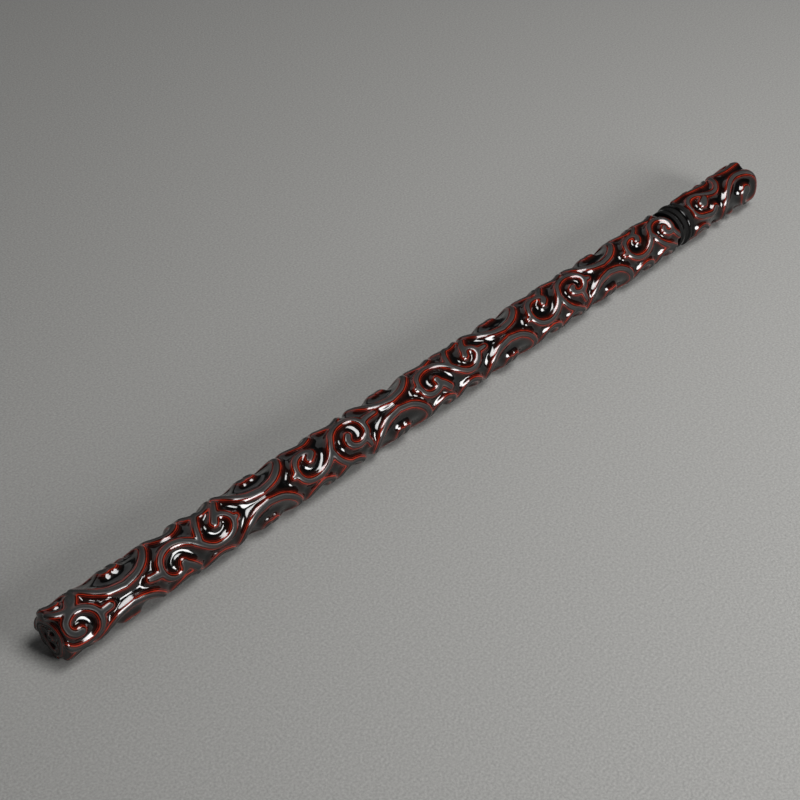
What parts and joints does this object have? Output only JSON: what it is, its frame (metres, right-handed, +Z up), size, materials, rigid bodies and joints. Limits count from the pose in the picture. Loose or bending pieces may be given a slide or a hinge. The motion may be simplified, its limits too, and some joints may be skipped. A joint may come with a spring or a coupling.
{
  "type": "capped carved lacquer writing brush",
  "caption": "Slender calligraphy brush with a barrel and friction cap of carved layered lacquer, plain black reeded rings at the joint and a pointed hair tuft inside the cap.",
  "frame": {"origin": "on the surface the brush lies on, below the middle of the capped brush", "axes": "+X along the brush from butt to cap end, +Z up"},
  "size_m": [0.3, 0.0148, 0.0148],
  "materials": {
    "bamboo": "planed, dry",
    "plug_wood": "turned, dry",
    "ground": "rough cloth and clay",
    "carved_lacquer": "polished layered black and red lacquer, carved",
    "black_lacquer": "polished black",
    "resin": "set resin",
    "thread": "waxed thread",
    "stiff_hair": "combed hair",
    "soft_hair": "combed hair"
  },
  "bodies": {
    "handle": {"handle_core": "bamboo", "handle_ground": "ground", "handle_lacquer": "carved_lacquer", "butt_plug": "plug_wood", "handle_collar": "black_lacquer", "neck_lacquer": "black_lacquer", "root_resin": "resin", "root_binding": "thread", "tuft_core": "stiff_hair", "tuft_mantle": "soft_hair"},
    "cap": {"cap_core": "bamboo", "cap_end_plug": "plug_wood", "cap_lining": "black_lacquer", "cap_ground": "ground", "cap_lacquer": "carved_lacquer", "cap_mouth_ring": "black_lacquer"}
  },
  "joints": [
    {"name": "cap_slide", "type": "slide", "parent": "handle", "child": "cap", "axis": [1, 0, 0], "range_m": [0, 0.06]}
  ]
}
